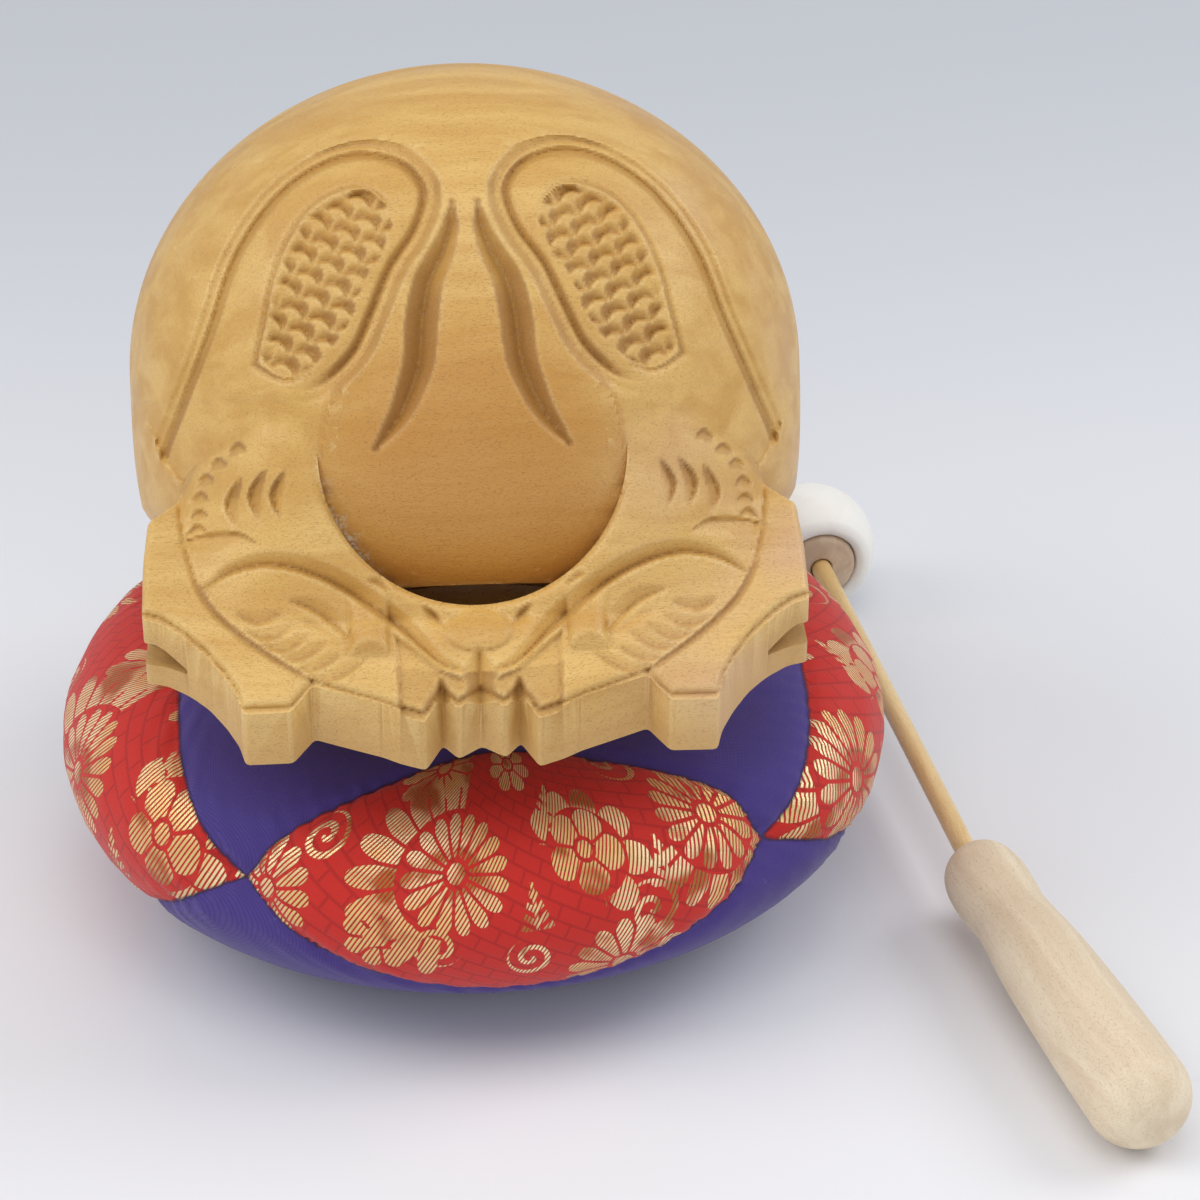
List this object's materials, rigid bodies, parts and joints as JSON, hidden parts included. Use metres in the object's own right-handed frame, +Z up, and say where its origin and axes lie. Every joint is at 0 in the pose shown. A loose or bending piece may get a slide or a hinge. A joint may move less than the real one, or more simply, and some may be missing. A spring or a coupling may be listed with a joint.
{
  "type": "wooden fish on a cushion",
  "caption": "Hollow carved wooden slit bell in the form of meeting fish, resting on a round stuffed cushion, with its padded striker lying beside it.",
  "frame": {"origin": "middle of the cushion's flat underside, on the surface that the set stands on", "axes": "+Z up, -Y out of the carved front, +X towards the striker"},
  "size_m": [0.2205, 0.2244, 0.1698],
  "materials": {
    "carved_wood": "waxed pale carved wood with a soft sheen",
    "cushion_fabric": "red figured brocade with gold thread, and plain purple twill",
    "handle_wood": "smooth pale turned wood",
    "shaft_wood": "polished amber rod",
    "core_wood": "plain turned wood",
    "head_cap": "matt off-white soft cap"
  },
  "bodies": {
    "root": {"wooden_fish": "carved_wood", "cushion": "cushion_fabric", "striker_handle": "handle_wood", "striker_shaft": "shaft_wood", "striker_core": "core_wood", "striker_head": "head_cap"}
  },
  "joints": []
}
